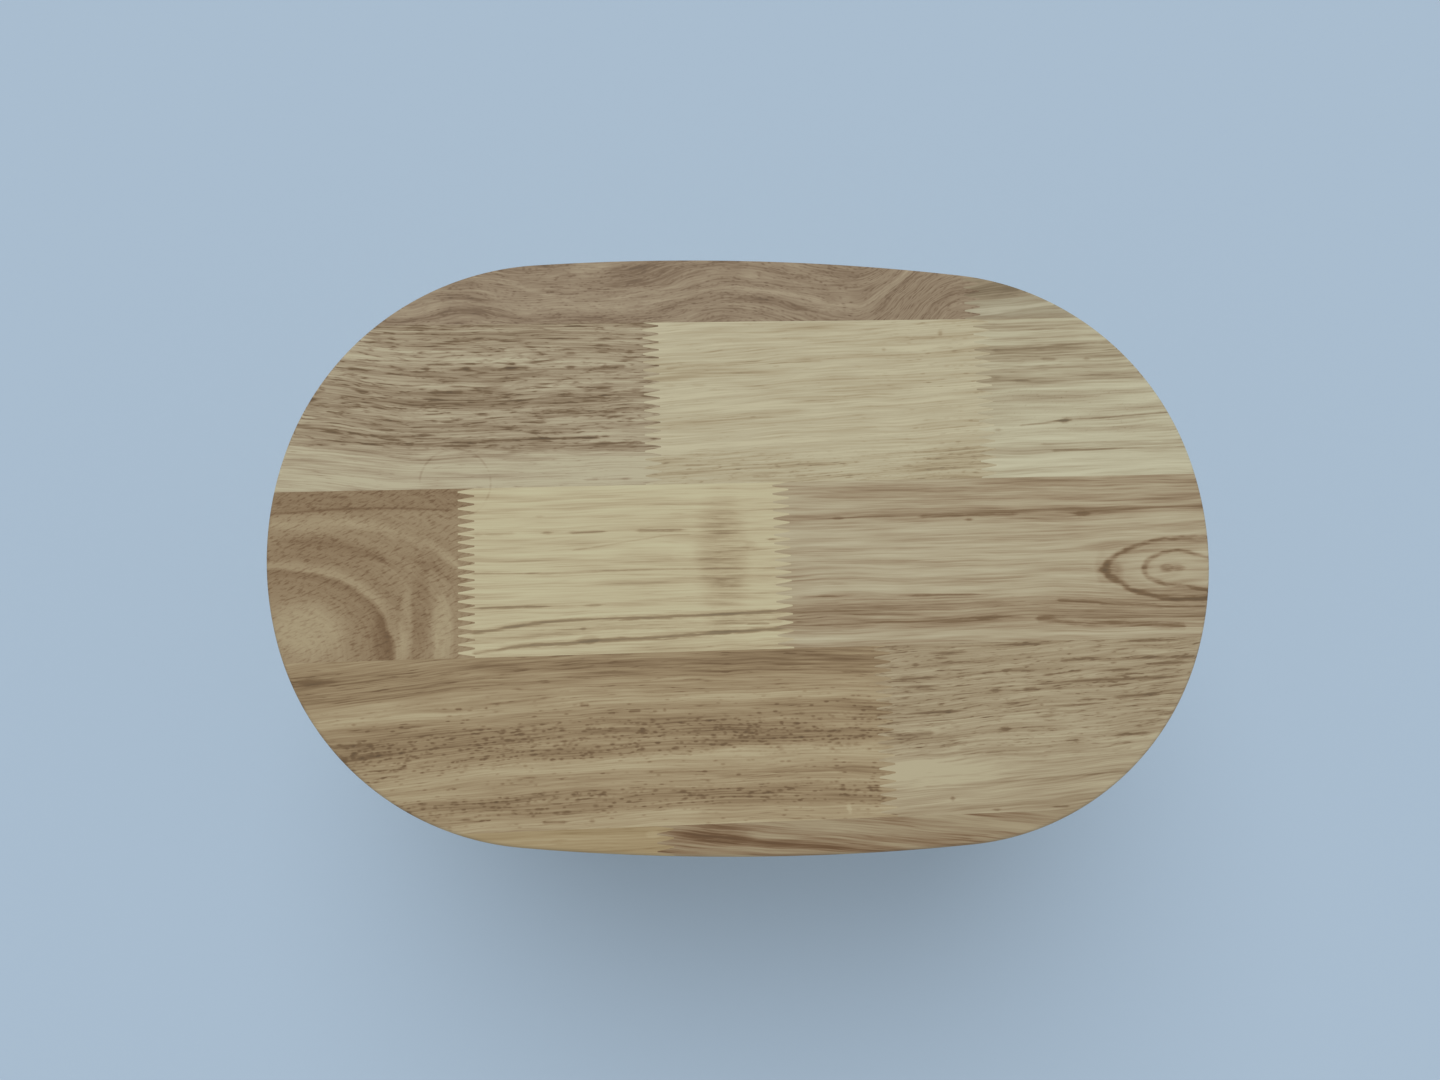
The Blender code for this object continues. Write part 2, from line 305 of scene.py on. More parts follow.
def lid_section():
    """The lid's section, from the edge of its top face round to the edge of its bottom face."""
    groove = plug_inset + groove_depth
    section = bend(arris, lid_top - arris, arris, QUARTER, -QUARTER, ARRIS_STEPS)
    section += bend(arris, lid_seat + arris, arris, 0, -QUARTER, ARRIS_STEPS)
    section += [(plug_inset, lid_seat), (plug_inset, seal_middle + groove_half)]
    section += [(groove, seal_middle + groove_half), (groove, seal_middle - groove_half)]
    section += [(plug_inset, seal_middle - groove_half), (plug_inset, plug_bottom + plug_chamfer)]
    return section + [(plug_inset + plug_chamfer, plug_bottom)]


def lid_form():
    """The whole board as one closed mesh, to cut the blocks with."""
    bm = sweep(lid_section())
    bmesh.ops.holes_fill(bm, edges=[edge for edge in bm.edges if edge.is_boundary])
    bmesh.ops.recalc_face_normals(bm, faces=bm.faces)
    mesh = bpy.data.meshes.new("lid_form")
    bm.to_mesh(mesh)
    bm.free()
    form = bpy.data.objects.new("lid_form", mesh)
    bpy.context.scene.collection.objects.link(form)
    return form


board_form = lid_form()
print("lid form:", len(board_form.data.polygons), "faces")

# %% [markdown]
# ## Finger joints
#
# A finger joint is a zigzag of slim wedges with blunt tips, cut into both ends and glued.
# Five staves cross the board. Each block is drawn as a flat outline in the staves' own
# directions, u along them and v across, in millimetres. It is extruded, turned to the slight
# angle at which the staves lie in the oval, and cut to the board's form by a Boolean.

# %% Finger joints
grain_turn = math.radians(1.87)
STAVE_WIDTH = 60.0
REAR_SEAM = 84.2
FINGER_LENGTH = 5.8
FINGER_PITCH = 3.0
FINGER_TIP = 0.5
GLUE_LINE = 0.004
PAST_THE_EDGE = 180.0
SPARE_DEPTH = 4.0
JOINTS = (
    (("left", "right"), (86.2,), False),
    (("left", "middle", "right"), (-33.9, 89.0), False),
    (("left", "middle", "right"), (-100.7, 11.7), True),
    (("left", "right"), (46.1,), True),
    (("left", "right"), (-32.8,), False),
)


def finger_line(along, low, high, swapped):
    """The zigzag across a stave, from its low edge to its high one."""
    root, tip = along - FINGER_LENGTH / 2, along + FINGER_LENGTH / 2
    if swapped:
        root, tip = tip, root
    flank = FINGER_PITCH / 2 - FINGER_TIP
    line = []
    for finger in range(round((high - low) / FINGER_PITCH)):
        start = low + finger * FINGER_PITCH
        line += [(root, start), (root, start + FINGER_TIP)]
        line += [(tip, start + FINGER_TIP + flank), (tip, start + FINGER_PITCH - flank)]
    return line + [(root, high)]


def block_outline(start, stop, low, high, swapped):
    """One block's outline. An end that is None lies past the oval's edge."""
    left = [(-PAST_THE_EDGE, low), (-PAST_THE_EDGE, high)]
    if start is not None:
        left = finger_line(start + GLUE_LINE / 2, low, high, swapped)
    right = [(PAST_THE_EDGE, low), (PAST_THE_EDGE, high)]
    if stop is not None:
        right = finger_line(stop - GLUE_LINE / 2, low, high, swapped)
    return left[::-1] + right


def sawn_block(outline):
    """A block as a slab with the given outline, thicker than the board."""
    bm = bmesh.new()
    low = plug_bottom - SPARE_DEPTH * MILLIMETRE
    rise = lid_top - plug_bottom + 2 * SPARE_DEPTH * MILLIMETRE
    corners = [bm.verts.new((u * MILLIMETRE, v * MILLIMETRE, low)) for u, v in outline]
    base = bm.faces.new(corners)
    raised = bmesh.ops.extrude_face_region(bm, geom=[base])["geom"]
    upper = [part for part in raised if isinstance(part, bmesh.types.BMVert)]
    bmesh.ops.translate(bm, verts=upper, vec=(0, 0, rise))
    bmesh.ops.rotate(bm, verts=bm.verts, matrix=Matrix.Rotation(grain_turn, 3, "Z"))
    bmesh.ops.recalc_face_normals(bm, faces=bm.faces)
    return bm


def islands(bm):
    """The vertices of a bmesh, grouped by the body that they belong to."""
    left = set(bm.verts)
    groups = []
    while left:
        front = [left.pop()]
        group = list(front)
        while front:
            corner = front.pop()
            near = [edge.other_vert(corner) for edge in corner.link_edges]
            fresh = [vert for vert in near if vert in left]
            left.difference_update(fresh)
            group += fresh
            front += fresh
        groups.append(group)
    return groups


def shaped_block(outline):
    """The slab cut to the board's form, without finger slivers that the cut leaves loose."""
    slab_mesh = bpy.data.meshes.new("slab")
    bm = sawn_block(outline)
    bm.to_mesh(slab_mesh)
    bm.free()
    slab = bpy.data.objects.new("slab", slab_mesh)
    bpy.context.scene.collection.objects.link(slab)
    cut = slab.modifiers.new("form", "BOOLEAN")
    cut.operation = "INTERSECT"
    cut.object = board_form
    ready = slab.evaluated_get(bpy.context.evaluated_depsgraph_get())
    bm = bmesh.new()
    bm.from_mesh(ready.to_mesh())
    ready.to_mesh_clear()
    bpy.data.objects.remove(slab, do_unlink=True)
    bodies = islands(bm)
    largest = max(bodies, key=len)
    offcuts = [vert for body in bodies if body is not largest for vert in body]
    bmesh.ops.delete(bm, geom=offcuts, context="VERTS")
    return bm


# %% Cutting the blocks
blocks = {}
for row, (sides, places, swapped) in enumerate(JOINTS):
    high_edge = REAR_SEAM + STAVE_WIDTH * (1 - row) - GLUE_LINE / 2
    low_edge = high_edge - STAVE_WIDTH + GLUE_LINE
    ends = (None, *places, None)
    for side, start, stop in zip(sides, ends, ends[1:]):
        label = f"{row + 1}_{side}"
        bm = shaped_block(block_outline(start, stop, low_edge, high_edge, swapped))
        node = "lid_stave_" + label
        blocks[label] = settle("block_" + label, bm, "lid", [node], 25)
        print(node, len(blocks[label].data.polygons), "faces")
bpy.data.objects.remove(board_form, do_unlink=True)

# %% [markdown]
# ## Arithmetic on surfaces
#
# A shader node gives a number at each point of a surface. The class below wraps such a
# number, so that a pattern can be written as plain arithmetic, and the nodes are made and
# linked behind it. Fade gives a soft step, mottle gives cloudy noise whose blotches have a
# stated size, and ladder turns a number into a colour or another number, rung by rung.

# %% Fields
class Field:
    """A number that varies over a surface: the output of a shader node."""

    def __init__(self, socket):
        self.socket = socket

    def worked(self, operation, *others):
        """Another field, worked out from this one by a Math node."""
        node = self.socket.id_data.nodes.new("ShaderNodeMath")
        node.operation = operation
        for slot, value in zip(node.inputs, (self, *others)):
            plug(slot, value)
        return Field(node.outputs[0])

    def __add__(self, other):
        return self.worked("ADD", other)

    def __sub__(self, other):
        return self.worked("SUBTRACT", other)

    def __mul__(self, other):
        return self.worked("MULTIPLY", other)

    def scaled(self, factor, shift):
        """This field times a factor, plus a shift, in a single node."""
        return self.worked("MULTIPLY_ADD", factor, shift)

    def __pow__(self, other):
        return self.worked("POWER", other)

    def __abs__(self):
        return self.worked("ABSOLUTE")


def plug(slot, value):
    """Feed a node's input from a field, or set it to a plain value."""
    if isinstance(value, Field):
        slot.id_data.links.new(value.socket, slot)
    else:
        slot.default_value = value


def fade(value, start, stop):
    """Rises smoothly from 0 to 1 while value goes from start to stop."""
    node = value.socket.id_data.nodes.new("ShaderNodeMapRange")
    node.interpolation_type = "SMOOTHSTEP"
    plug(node.inputs["Value"], value)
    node.inputs["From Min"].default_value = start
    node.inputs["From Max"].default_value = stop
    return Field(node.outputs["Result"])


# %% Starting a finish
def new_finish(name):
    """A new material, with its shader and the place on the object that patterns start from."""
    finish = bpy.data.materials.new(name)
    finish.use_nodes = True
    tree = finish.node_tree
    place = tree.nodes.new("ShaderNodeTexCoord").outputs["Object"]
    return finish, tree.nodes["Principled BSDF"], place


def emboss(shader, height, strength, depth):
    """Give a shader relief. The depth is in millimetres, for a height of 1."""
    tree = shader.id_data
    bump = tree.nodes.new("ShaderNodeBump")
    bump.inputs["Strength"].default_value = strength
    bump.inputs["Distance"].default_value = depth * MILLIMETRE
    plug(bump.inputs["Height"], height)
    tree.links.new(bump.outputs["Normal"], shader.inputs["Normal"])


# %% Patterns
def mottle(place, size, detail=2.0, seed=0, swing=1):
    """Cloudy noise, mostly from -swing to swing, with blotches of the given size each way."""
    tree = place.id_data
    scale = tree.nodes.new("ShaderNodeMapping")
    scale.inputs["Location"].default_value = (seed * 7.3, seed * 3.1, seed * 5.7)
    scale.inputs["Scale"].default_value = [1 / length for length in size]
    tree.links.new(place, scale.inputs["Vector"])
    noise = tree.nodes.new("ShaderNodeTexNoise")
    noise.inputs["Scale"].default_value = 1
    noise.inputs["Detail"].default_value = detail
    tree.links.new(scale.outputs["Vector"], noise.inputs["Vector"])
    return Field(noise.outputs["Fac"]).scaled(5 * swing, -2.5 * swing)


def joined(u, v, w):
    """Three fields as one vector."""
    node = u.socket.id_data.nodes.new("ShaderNodeCombineXYZ")
    for slot, value in zip(node.inputs, (u, v, w)):
        plug(slot, value)
    return node.outputs["Vector"]


def ladder(value, rungs, interpolation="LINEAR"):
    """A field or colour that follows the rungs, pairs of a place and what holds there."""
    tree = value.socket.id_data
    low, high = rungs[0][0], rungs[-1][0]
    ramp = tree.nodes.new("ShaderNodeValToRGB")
    ramp.color_ramp.interpolation = interpolation
    steps = ramp.color_ramp.elements
    while len(steps) < len(rungs):
        steps.new(0.5)
    for step, (place, held) in zip(steps, rungs):
        step.position = (place - low) / (high - low)
        step.color = linear(held) if isinstance(held, tuple) else (held, held, held, 1)
    share = tree.nodes.new("ShaderNodeMapRange")
    plug(share.inputs["Value"], value)
    share.inputs["From Min"].default_value = low
    share.inputs["From Max"].default_value = high
    plug(ramp.inputs["Fac"], Field(share.outputs["Result"]))
    return Field(ramp.outputs["Color"])


# %% [markdown]
# ## Rubberwood
#
# Rubberwood shows four things at arm's length: broad bands of paler and browner wood, fine
# fibres, short dark dashes where the saw has opened the wood's vessels, and now and then a
# knot or a stain. A block's grain is kept as a tone from 0, pale, to 1, dark, and a ladder of
# colours turns it into wood. The bands lie across the block like the growth rings that they
# are, and slope down through its thickness, so the edge of the board shows them as well.

# %% Wood
COLOUR_TONES = (0, 0.34, 0.67, 1, 1.6)
DEEPEST = 0.82


class Wood:
    """The grain of one block, over millimetres along u, across v and down w from the top."""

    def __init__(self, name, lean=0.6, drift=1.2, seed=0):
        self.material, self.shader, place = new_finish(name)
        self.tree = self.material.node_tree
        self.seed = seed
        turn = self.tree.nodes.new("ShaderNodeMapping")
        turn.inputs["Location"].default_value = (0, 0, -lid_top / MILLIMETRE)
        turn.inputs["Rotation"].default_value = (0, 0, -grain_turn)
        turn.inputs["Scale"].default_value = (1 / MILLIMETRE,) * 3
        self.tree.links.new(place, turn.inputs["Vector"])
        self.board = turn.outputs["Vector"]
        parts = self.tree.nodes.new("ShaderNodeSeparateXYZ")
        self.tree.links.new(self.board, parts.inputs["Vector"])
        self.u, self.v, self.w = [Field(output) for output in parts.outputs]
        wander = mottle(self.board, (55, 14, 30), 2, seed, drift)
        self.ring = self.w.scaled(lean, self.v + wander)
        self.rough = mottle(self.board, (5, 0.8, 1.5), 3, seed + 9)
        self.fray = self.rough * 0.4
        # Below its rounded corner the board shows its edge, where the marks are finer and faint.
        self.clarity = fade(self.w, -1.8, -0.6).scaled(0.7, 0.3)
        self.tone = None
        self.marks = None
        self.vessels = None
        self.pits = None

    def flow(self, rise):
        """Let the rings run along a field that rises and falls with the grain."""
        self.ring = self.ring - rise

    @property
    def grain(self):
        """The place in the wood as the grain sees it."""
        return joined(self.u, self.ring, self.w)

    def turned(self, angle):
        """The place in the wood, turned by an angle in degrees."""
        cosine, sine = math.cos(math.radians(angle)), math.sin(math.radians(angle))
        return joined(self.u * cosine + self.v * sine, self.v * cosine - self.u * sine, self.w)

    def bands(self, rungs, broad, fine, reach=70):
        """Growth bands at stated rings, broken up by broad and fine streaks of some reach."""
        grain = self.grain
        streaks = mottle(grain, (reach, 3.2, 5), 3, self.seed + 1, broad)
        fibres = mottle(grain, (reach * 0.3, 0.6, 1), 3, self.seed + 2, fine)
        self.tone = (streaks + fibres).scaled(self.clarity, ladder(self.ring, rungs))

    def add(self, mask, depth):
        """Darken, or with a negative depth lighten, where the mask is 1."""
        self.marks = mask.scaled(depth, 0 if self.marks is None else self.marks)

    def sink(self, mask, depth, where):
        """Opened vessels are darker than the wood and a little sunk."""
        if where is not None:
            mask = mask * where
        self.vessels = mask.scaled(depth, 0 if self.vessels is None else self.vessels)
        self.pits = mask if self.pits is None else self.pits.worked("MAXIMUM", mask)

    def dashes(self, length, width, cover, depth, where=None, seed=3, place=None):
        """Vessels cut along their length: ragged dark dashes. Cover is from 0 to 1."""
        place = self.grain if place is None else place
        cloud = mottle(place, (length, width, width * 2), 2, self.seed + seed)
        edge = 1.0 - 1.2 * cover
        self.sink(fade(cloud, edge, edge + 1.1), depth, where)

    def dots(self, length, width, share, depth, where=None, seed=6, place=None):
        """Vessels cut across: short ovals at random places, a share of them dark."""
        pitch = 1.5
        edge = 0.75 - 0.5 * share
        scale = self.tree.nodes.new("ShaderNodeMapping")
        scale.inputs["Location"].default_value = (seed * 3.7, seed * 9.1, self.seed)
        scale.inputs["Scale"].default_value = [1 / (pitch * s) for s in (length, width, width * 2)]
        self.tree.links.new(self.grain if place is None else place, scale.inputs["Vector"])
        cells = self.tree.nodes.new("ShaderNodeTexVoronoi")
        cells.inputs["Scale"].default_value = 1
        self.tree.links.new(scale.outputs["Vector"], cells.inputs["Vector"])
        oval = fade(Field(cells.outputs["Distance"]) + self.rough * 0.06, 0.5, 0.1)
        chance = fade(Field(cells.outputs["Color"]), edge, edge + 0.15)
        self.sink(oval * chance, depth, where)

    def stroke(self, line, spans, width, depth, soft):
        """Marks with pointed ends along a line of v, one over each span of u."""
        rungs = []
        for start, stop in spans:
            rungs += [(start - 0.1, 1), (start + soft, 0), (stop - soft, 0), (stop + 0.1, 1)]
        narrowed = ladder(self.u, rungs) + self.fray
        off = narrowed.scaled(width, abs(self.v - line))
        self.add(fade(off, width * 1.1, width * -0.2), depth)

    def trail(self, places, width, depth, soft=2):
        """One line that runs smoothly through the given places."""
        low = min(v for u, v in places)
        reach = max(v for u, v in places) - low
        shares = [(u, (v - low) / reach) for u, v in places]
        line = ladder(self.u, shares, "CARDINAL").scaled(reach, low)
        self.stroke(line, [(places[0][0], places[-1][0])], width, depth, soft)

    def row(self, v, spans, width, depth, rise=0):
        """Dashes in a row at one height, which climb by rise over every millimetre."""
        middle = (spans[0][0] + spans[-1][1]) / 2
        line = self.u.scaled(rise, v - middle * rise) if rise else v
        shortest = min(stop - start for start, stop in spans)
        self.stroke(line, spans, width, depth, shortest * 0.4)

    def patch(self, centre, radii, depth, edge=0.6):
        """A soft, ragged oval patch."""
        du = self.u.scaled(1 / radii[0], -centre[0] / radii[0])
        dv = self.v.scaled(1 / radii[1], -centre[1] / radii[1])
        away = dv.scaled(dv, du.scaled(du, self.fray))
        self.add(fade(away, 1 + edge, 1 - edge), depth)

    def ring_mark(self):
        """The faint ring that a wet cup has left across three blocks."""
        middle, radius = (-104.5, 26), 12.5
        du, dv = self.u - middle[0], self.v - middle[1]
        off = abs((du * du + dv * dv) ** 0.5 - radius)
        worn = fade(mottle(self.board, (9, 9, 9), 2, 5), -0.6, 0.6)
        self.add(fade(off, 0.7, 0) * worn, 0.3)

    def finished(self, colours):
        """Turn the tone into colour, sheen and relief, and return the material."""
        self.tone = self.vessels.scaled(self.clarity, self.tone)
        if self.marks is not None:
            self.tone = self.marks.scaled(self.fray + 1, self.tone)
        deepest = tuple(level * DEEPEST for level in colours[-1])
        colour = ladder(self.tone, list(zip(COLOUR_TONES, (*colours, deepest))))
        plug(self.shader.inputs["Base Color"], colour)
        plug(self.shader.inputs["Roughness"], self.rough.scaled(0.03, 0.55))
        self.shader.inputs["Specular IOR Level"].default_value = 0.2
        relief = self.pits.scaled(-0.7, self.rough * 0.12) * self.clarity
        emboss(self.shader, relief, 0.5, 0.04)
        return self.material


# %% [markdown]
# ## The blocks' grain, stave by stave
#
# Each block comes from another tree, so each has its own function. Its bands are listed by
# their ring, which on the top face is the distance across the board in millimetres. Then
# come its vessels, and last the marks that only this block has.

# %% Rear stave
def grain_1_left():
    """Brown wood with wavy figure, a swirl near its left end and a steep one at its right."""
    wood = Wood("rubberwood_1_left", drift=2.2, seed=11)
    hill = fade(abs(wood.u + 5), 48, 0) * 6 + fade(abs(wood.u + 101), 22, 0) * 2.5
    steep = fade(wood.u, 42, 84) * 26
    wood.flow(hill + steep)
    wood.bands(((60, 0.5), (70, 0.65), (78, 0.45), (84, 0.6), (86, 0.8), (88, 0.5), (90, 0.25),
                (92, 0.58), (95, 0.5), (98, 0.68), (104, 0.6), (112, 0.5)), 0.26, 0.3, 28)
    wood.dots(1.3, 0.55, 0.7, 0.3)
    wood.dots(1.6, 0.6, 0.5, 0.3, None, 7)
    wood.dashes(5, 0.9, 0.45, 0.4)
    wood.patch((-55, 104.5), (7, 3.5), -0.3, 0.9)
    wood.patch((-101, 91), (8, 9), 0.2, 0.95)
    wood.patch((-34, 102), (17, 4.5), 0.2, 0.9)
    wood.trail(((-92, 101.5), (-80, 98), (-60, 92)), 1.6, -0.3, 10)
    return wood.finished(((162, 147, 122), (150, 134, 110), (138, 120, 97), (118, 98, 76)))


def grain_1_right():
    """Lighter wood with a pale band and a dark streak above it."""
    wood = Wood("rubberwood_1_right", drift=1.5, seed=12)
    wood.flow(wood.u * 0.1 - 10)
    wood.bands(((80, 0.3), (85, 0.5), (88, 0.25), (91, 0.6), (95, 0.8), (104, 0.65)), 0.26, 0.24)
    wood.dashes(6, 0.7, 0.35, 0.3)
    wood.trail(((92, 95), (112, 97.2)), 1.3, 0.35, 8)
    wood.patch((106, 88), (20, 3), -0.15)
    return wood.finished(((176, 169, 144), (160, 151, 126), (144, 130, 105), (122, 107, 83)))


# %% Second stave
def grain_2_left():
    """Grey-brown wood, crowded with dark dashes, and a paler band along its front edge."""
    wood = Wood("rubberwood_2_left", drift=0.9, seed=21)
    wood.flow(fade(wood.u, -110, -175) * 5)
    wood.bands(((20, 0.15), (30, 0.12), (36, 0.25), (39, 0.45), (44, 0.35), (50, 0.5), (58, 0.52),
                (62, 0.35), (67, 0.5), (72, 0.38), (78, 0.52), (86, 0.45)), 0.28, 0.3)
    busy = fade(wood.ring, 33, 42)
    wood.dashes(11, 1.1, 0.7, 0.7, busy)
    wood.dashes(5, 0.9, 0.62, 0.6, busy, 4)
    wood.dashes(5, 0.6, 0.5, 0.4, None, 5)
    wood.row(68, ((-117, -112), (-103, -98), (-88, -77), (-66, -60), (-53, -42)), 1.0, 0.7)
    wood.row(73, ((-66, -60), (-44, -39)), 0.9, 0.45)
    wood.row(78, ((-90, -78), (-54, -46)), 0.9, 0.4)
    wood.row(59.3, ((-115, -100), (-96, -90), (-60, -47), (-43, -36)), 1.0, 0.45)
    wood.row(51, ((-98, -92), (-70, -58), (-53, -45)), 1.0, 0.45)
    wood.row(39.6, ((-110, -98), (-94, -88), (-44, -39)), 0.9, 0.45)
    wood.row(26.5, ((-60, -52), (-47, -41)), 0.8, 0.45)
    wood.trail(((-135, 77), (-108, 75.5), (-85, 74)), 1.0, 0.4)
    wood.trail(((-162, 48.2), (-140, 45), (-120, 43), (-105, 42), (-80, 41.5), (-52, 42)), 1.0, 0.5)
    wood.row(57.4, ((-160, -151),), 1.8, 0.5)
    wood.row(54.6, ((-152, -134),), 1.6, 0.4)
    wood.patch((-98, 56), (15, 4.5), 0.18, 0.9)
    wood.ring_mark()
    return wood.finished(((180, 172, 144), (164, 151, 125), (142, 125, 100), (112, 92, 66)))


def grain_2_middle():
    """Pale wood with thin lines that rise to the right, browner along its front edge."""
    wood = Wood("rubberwood_2_middle", drift=0.9, seed=22)
    wood.flow(wood.u * 0.045)
    wood.bands(((15, 0.6), (25, 0.6), (32, 0.5), (37, 0.36), (60, 0.36), (68, 0.42), (86, 0.36)),
               0.36, 0.34)
    wood.dashes(14, 0.7, 0.45, 0.45)
    wood.dashes(5, 0.7, 0.4, 0.45, None, 5)
    low = fade(wood.v, 40, 30)
    wood.dashes(4, 0.8, 0.6, 0.6, low, 4)
    wood.dots(2.2, 0.7, 0.3, 0.3, fade(wood.u, 30, 70), 7)
    wood.trail(((-30, 67), (0, 68.4), (30, 69)), 0.9, 0.35)
    wood.row(60.5, ((-30, -24), (-21, -13)), 0.8, 0.4)
    wood.row(31, ((-25, -14), (-9, 0)), 0.7, 0.35)
    wood.row(26.3, ((0, 10), (16, 23), (34, 40)), 0.7, 0.4)
    wood.row(79, ((71.6, 75.4),), 1.3, 0.8)
    wood.row(73, ((50.6, 53.4),), 1.1, 0.6)
    wood.patch((74, 30), (15, 6), 0.2, 0.9)
    return wood.finished(((189, 181, 151), (180, 171, 142), (172, 160, 130), (154, 138, 108)))


def grain_2_right():
    """Pale wood with a brown band and a tiny dark knot that trails a thin line."""
    wood = Wood("rubberwood_2_right", drift=1.0, seed=23)
    wood.flow(wood.u * 0.03 - 3.5)
    wood.bands(((15, 0.2), (31, 0.25), (34, 0.48), (36, 0.34), (48, 0.44), (58, 0.44), (61, 0.66),
                (68, 0.6), (73, 0.7), (75.5, 0.42), (86, 0.42)), 0.26, 0.26)
    wood.dashes(8, 0.6, 0.3, 0.25)
    speckled = fade(abs(wood.v - 49), 12, 7)
    wood.dashes(1.6, 0.7, 0.5, 0.2, speckled, 7, wood.turned(35))
    wood.dashes(9, 0.7, 0.5, 0.35, fade(abs(wood.ring - 67), 8, 6), 4)
    wood.trail(((92, 72), (115, 73.5), (142, 75.2)), 0.9, 0.4)
    wood.row(60.4, ((97, 108),), 0.8, 0.5)
    wood.row(68.5, ((110, 118), (126, 131)), 0.9, 0.35)
    wood.row(62, ((120, 148),), 0.7, 0.35)
    for v in (82, 79.5, 76.2):
        wood.trail(((88, v), (130, v + 1)), 0.6, 0.3, 6)
    wood.trail(((100, 43.4), (118, 45.3), (140, 46.5), (172, 48.4)), 0.6, 0.6)
    wood.row(45.3, ((114.5, 122.5),), 1.6, 1.1)
    wood.row(44, ((85.5, 92),), 1.1, 0.6)
    wood.row(42.2, ((90.5, 96),), 1.0, 0.5)
    wood.trail(((112, 33.8), (166, 34.6)), 0.7, 0.45)
    wood.trail(((108, 36.4), (166, 37.2)), 0.6, 0.35)
    return wood.finished(((191, 186, 158), (180, 173, 145), (163, 151, 124), (136, 120, 93)))


# %% Middle stave
def grain_3_left():
    """Brown wood cut across its rings, which turn down to the right as arcs."""
    wood = Wood("rubberwood_3_left", drift=1.0, seed=31)
    centre_u, centre_v = -165, -33
    wide, high = 40.5, 31.0
    across = (wood.u - centre_u) * (1 / wide)
    upward = (wood.v - centre_v) * (1 / high)
    ring = (across * across + upward * upward) ** 0.5
    wander = mottle(wood.board, (13, 9, 12), 3, 7, 0.8)
    wood.ring = ring * high + centre_v + wander + wood.w * 0.6
    wood.bands(((-33, 0.3), (-22, 0.32), (-14, 0.44), (-9, 0.6), (-3.6, 0.78), (-2.4, 0.26),
                (-0.8, 0.3), (1, 0.5), (12, 0.44), (60, 0.44)), 0.1, 0.06)
    flecks = wood.turned(24)
    wood.dashes(3, 0.8, 0.85, 0.36, None, 6, flecks)
    wood.dashes(1.6, 0.6, 0.7, 0.24, None, 8, flecks)
    wood.add(fade(wood.v, 15.5, 18), 0.22)
    wood.trail(((-170, 16.3), (-150, 17.5), (-130, 17.8), (-104, 16.5)), 0.7, 0.35)
    wood.trail(((-170, 13), (-140, 12.6), (-130, 11), (-120, 7), (-110, 2), (-102, -4)), 3.2, -0.34)
    wood.trail(((-171, 6.8), (-150, 6), (-140, 3), (-130, -0.5), (-120, -6)), 3.0, 0.3, 12)
    wood.trail(((-126, 1), (-118, -1.5), (-110, -5), (-102, -12)), 3.4, 0.34, 10)
    wood.row(22, ((-147, -140),), 0.9, 0.4)
    wood.patch((-116.5, -17), (3, 13), 0.2, 0.9)
    wood.patch((-121.5, -24), (2.2, 11), -0.25, 0.7)
    wood.patch((-109, -26), (3.4, 12), -0.4, 0.7)
    wood.patch((-155, -24), (12, 9), -0.28, 0.8)
    wood.patch((-129, -27), (4, 10), 0.22, 0.7)
    wood.patch((-133, 4), (30, 6), 0.06)
    wood.ring_mark()
    return wood.finished(((165, 150, 119), (152, 134, 105), (136, 115, 87), (115, 91, 64)))


def grain_3_middle():
    """The palest block, with fine lines, two dark ones in front and a faint brown smudge."""
    wood = Wood("rubberwood_3_middle", drift=0.7, seed=32)
    wood.bands(((-40, 0.4), (-28, 0.46), (-20, 0.38), (0, 0.38), (26, 0.36)), 0.28, 0.26)
    wood.dashes(16, 0.6, 0.4, 0.3)
    wood.dashes(5, 0.5, 0.3, 0.3, fade(abs(wood.u + 10), 60, 10), 4)
    wood.trail(((-100, -6.4), (-71, -6.9), (-40, -6.4), (12, -6.9)), 0.6, 0.55)
    wood.trail(((-100, -27.2), (-80, -24.7), (-60, -23.6), (-20, -23.3), (16, -22.3)), 1.0, 0.8)
    wood.trail(((-100, -25.4), (-80, -23), (-60, -22), (16, -20.8)), 0.7, -0.3)
    wood.trail(((-100, -34.5), (-85, -32.5), (-60, -31.3), (-20, -30), (18, -28.4)), 1.1, 0.85)
    wood.trail(((-100, -29.8), (-60, -27.2), (-20, -26.6), (12, -25.5)), 2.0, 0.45)
    wood.trail(((-100, -31.6), (-60, -29.2), (16, -26.8)), 0.7, -0.35)
    wood.trail(((-65, 1), (-35, 5), (-20, 6)), 0.5, 0.35)
    wood.row(7.6, ((-100, -82), (-76, -69), (-66, -50), (-42, -22)), 0.8, 0.6)
    wood.row(-18.5, ((-100, -70), (-62, -50)), 0.8, 0.55)
    wood.row(-26.8, ((-62, -58), (-3, 7)), 0.7, 0.5)
    wood.row(13.5, ((-78, -72), (-30, -22)), 0.6, 0.4)
    wood.row(6.2, ((-18, -1),), 1.2, 0.4)
    wood.row(3.5, ((4.5, 11),), 0.6, 0.7)
    wood.row(1.2, ((-5, 5.3),), 2.6, 0.35)
    wood.patch((-10, -3), (8.5, 24), 0.3, 0.9)
    wood.patch((-9, -12), (6, 2), 0.14, 0.9)
    wood.patch((-24, -1), (4, 3), -0.1)
    wood.patch((-58, -30.6), (4, 1.6), 0.3)
    wood.ring_mark()
    return wood.finished(((191, 184, 150), (185, 175, 142), (172, 158, 126), (145, 127, 97)))


